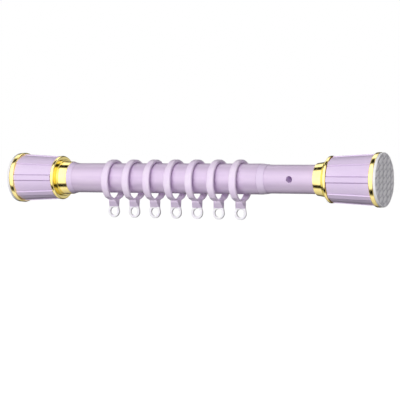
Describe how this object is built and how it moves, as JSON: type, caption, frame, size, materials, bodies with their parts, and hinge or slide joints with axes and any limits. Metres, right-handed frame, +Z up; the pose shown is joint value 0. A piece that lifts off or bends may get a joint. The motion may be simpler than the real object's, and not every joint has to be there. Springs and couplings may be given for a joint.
{
  "type": "spring tension rod",
  "caption": "Telescopic spring tension rod in lilac with gold-trimmed ribbed end caps, patterned wall pads and curtain rings with swivel eyes on the wider tube.",
  "frame": {"origin": "middle of the left wall pad's face", "axes": "+X along the rod from the left wall to the right wall, +Z up, the front looks along -Y"},
  "size_m": [0.3802, 0.0484, 0.0616],
  "materials": {
    "lilac_enamel": "satin enamel on thin steel",
    "lilac_plastic": "satin moulded",
    "gold_plate": "polished gold plate",
    "pad_silicone": "matte silicone",
    "ring_plastic": "satin moulded",
    "eye_plastic": "pale satin moulded",
    "inner_nylon": "natural nylon",
    "zinc_steel": "zinc plated",
    "spring_steel": "oiled spring wire"
  },
  "bodies": {
    "fixed_half": {"left_pad": "pad_silicone", "left_rim": "gold_plate", "left_cap": "lilac_plastic", "left_collar": "gold_plate", "left_plug": "inner_nylon", "left_screw": "zinc_steel", "left_sleeve": "lilac_plastic", "outer_tube": "lilac_enamel", "mouth_bush": "lilac_plastic"},
    "lock_carriage": {"lock_sleeve": "inner_nylon"},
    "cone": {"cone_nut": "inner_nylon"},
    "spindle": {"lock_spindle": "zinc_steel", "spindle_clip": "zinc_steel", "spring_pusher": "inner_nylon", "pusher_nut": "zinc_steel"},
    "sliding_half": {"inner_tube": "lilac_enamel", "bar_plug": "lilac_plastic", "guide_plug": "inner_nylon", "guide_pin": "zinc_steel", "spring_stop": "inner_nylon", "stop_pin": "zinc_steel", "tension_spring": "spring_steel", "right_collar": "gold_plate", "right_cap": "lilac_plastic", "right_rim": "gold_plate", "right_pad": "pad_silicone", "right_plug": "inner_nylon", "right_screw": "zinc_steel"},
    "ring_body_1": {"ring_1": "ring_plastic"},
    "eye_body_1": {"eye_1": "eye_plastic"},
    "ring_body_2": {"ring_2": "ring_plastic"},
    "eye_body_2": {"eye_2": "eye_plastic"},
    "ring_body_3": {"ring_3": "ring_plastic"},
    "eye_body_3": {"eye_3": "eye_plastic"},
    "ring_body_4": {"ring_4": "ring_plastic"},
    "eye_body_4": {"eye_4": "eye_plastic"},
    "ring_body_5": {"ring_5": "ring_plastic"},
    "eye_body_5": {"eye_5": "eye_plastic"},
    "ring_body_6": {"ring_6": "ring_plastic"},
    "eye_body_6": {"eye_6": "eye_plastic"},
    "ring_body_7": {"ring_7": "ring_plastic"},
    "eye_body_7": {"eye_7": "eye_plastic"}
  },
  "joints": [
    {"name": "length_adjust", "type": "slide", "parent": "fixed_half", "child": "lock_carriage", "axis": [1, 0, 0], "range_m": [-0.026, 0.095]},
    {"name": "cone_draw", "type": "slide", "parent": "lock_carriage", "child": "cone", "axis": [1, 0, 0], "range_m": [0, 0.00151]},
    {"name": "twist_lock", "type": "hinge", "parent": "lock_carriage", "child": "spindle", "pos_m": [0.0831, 0, 0], "axis": [1, 0, 0], "range_deg": [0, 270]},
    {"name": "spring_press", "type": "slide", "parent": "spindle", "child": "sliding_half", "axis": [1, 0, 0], "range_m": [-0.022, 0], "stiffness_N_per_m": 1975, "springref_m": 0.01, "deforming": ["tension_spring"]},
    {"name": "ring_slide_1", "type": "slide", "parent": "fixed_half", "child": "ring_body_1", "axis": [1, 0, 0], "range_m": [-0.036, 0.0051]},
    {"name": "eye_swivel_1", "type": "hinge", "parent": "ring_body_1", "child": "eye_body_1", "pos_m": [0.1074, 0, -0.0258], "axis": [0, 0, 1], "continuous": true},
    {"name": "ring_slide_2", "type": "slide", "parent": "fixed_half", "child": "ring_body_2", "axis": [1, 0, 0], "range_m": [-0.0051, 0.0051]},
    {"name": "eye_swivel_2", "type": "hinge", "parent": "ring_body_2", "child": "eye_body_2", "pos_m": [0.1297, 0, -0.0258], "axis": [0, 0, 1], "continuous": true},
    {"name": "ring_slide_3", "type": "slide", "parent": "fixed_half", "child": "ring_body_3", "axis": [1, 0, 0], "range_m": [-0.0051, 0.0051]},
    {"name": "eye_swivel_3", "type": "hinge", "parent": "ring_body_3", "child": "eye_body_3", "pos_m": [0.152, 0, -0.0258], "axis": [0, 0, 1], "continuous": true},
    {"name": "ring_slide_4", "type": "slide", "parent": "fixed_half", "child": "ring_body_4", "axis": [1, 0, 0], "range_m": [-0.0051, 0.0051]},
    {"name": "eye_swivel_4", "type": "hinge", "parent": "ring_body_4", "child": "eye_body_4", "pos_m": [0.1743, 0, -0.0258], "axis": [0, 0, 1], "continuous": true},
    {"name": "ring_slide_5", "type": "slide", "parent": "fixed_half", "child": "ring_body_5", "axis": [1, 0, 0], "range_m": [-0.0051, 0.0051]},
    {"name": "eye_swivel_5", "type": "hinge", "parent": "ring_body_5", "child": "eye_body_5", "pos_m": [0.1966, 0, -0.0258], "axis": [0, 0, 1], "continuous": true},
    {"name": "ring_slide_6", "type": "slide", "parent": "fixed_half", "child": "ring_body_6", "axis": [1, 0, 0], "range_m": [-0.0051, 0.0051]},
    {"name": "eye_swivel_6", "type": "hinge", "parent": "ring_body_6", "child": "eye_body_6", "pos_m": [0.2189, 0, -0.0258], "axis": [0, 0, 1], "continuous": true},
    {"name": "ring_slide_7", "type": "slide", "parent": "fixed_half", "child": "ring_body_7", "axis": [1, 0, 0], "range_m": [-0.0051, 0.0165]},
    {"name": "eye_swivel_7", "type": "hinge", "parent": "ring_body_7", "child": "eye_body_7", "pos_m": [0.2412, 0, -0.0258], "axis": [0, 0, 1], "continuous": true}
  ],
  "couplings": [
    {"joint": "cone_draw", "follows": "twist_lock", "m_per_rad": 0.00031831}
  ]
}
